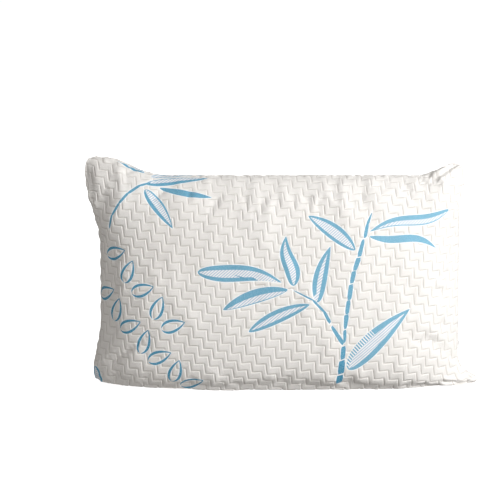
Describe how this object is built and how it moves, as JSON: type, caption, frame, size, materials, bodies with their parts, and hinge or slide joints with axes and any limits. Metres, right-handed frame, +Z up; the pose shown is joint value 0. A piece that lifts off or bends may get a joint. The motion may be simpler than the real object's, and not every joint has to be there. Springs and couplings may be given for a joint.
{
  "type": "bed pillow",
  "caption": "Shredded-foam bed pillow in a quilted knit cover with leaf motifs and a side zip, standing on its long edge.",
  "frame": {"origin": "middle of the part's box in plan, at the floor that the pillow stands on", "axes": "+X along the pillow's length towards the zipped side, +Y from the front panel to the back panel, +Z up"},
  "size_m": [0.7374, 0.1756, 0.4175],
  "materials": {
    "quilted_knit": "embossed quilted jacquard knit, off-white with blue woven leaf motifs",
    "sewing_thread": "white polyester thread",
    "zip_tape": "white woven tape",
    "nylon_coil": "white nylon monofilament",
    "zip_metal": "crimped, plain",
    "slider_enamel": "white enamel on die-cast zinc",
    "liner_cloth": "thin plain white polyester",
    "shredded_foam": "shredded foam with fibre, pale yellow",
    "satin_label": "blank white satin ribbon"
  },
  "bodies": {
    "pillow": {"cover_front_panel": "quilted_knit", "cover_back_panel": "quilted_knit", "seam_overlock_top": "sewing_thread", "seam_overlock_left": "sewing_thread", "seam_overlock_bottom": "sewing_thread", "seam_overlock_right_lower": "sewing_thread", "seam_overlock_right_upper": "sewing_thread", "zip_tape_front": "zip_tape", "zip_tape_back": "zip_tape", "zip_coil_front": "nylon_coil", "zip_coil_back": "nylon_coil", "zip_top_stop_front": "zip_metal", "zip_top_stop_back": "zip_metal", "zip_bottom_stop": "zip_metal", "zip_topstitch_front": "sewing_thread", "zip_topstitch_back": "sewing_thread", "liner_front_panel": "liner_cloth", "liner_back_panel": "liner_cloth", "liner_seam_overlock": "sewing_thread", "foam_fill": "shredded_foam", "care_label": "satin_label"},
    "zip_slider": {"zip_slider_body": "slider_enamel", "zip_slider_crown": "slider_enamel"},
    "pull_tab": {"zip_pull_tab": "slider_enamel"}
  },
  "joints": [
    {"name": "zip_travel", "type": "slide", "parent": "pillow", "child": "zip_slider", "axis": [0, 0.1392, 0.9903], "range_m": [0, 0.231]},
    {"name": "tab_swing", "type": "hinge", "parent": "zip_slider", "child": "pull_tab", "pos_m": [0.32656, -0.00808, 0.07846], "axis": [0, -0.9903, 0.1392], "range_deg": [0, 170]}
  ]
}
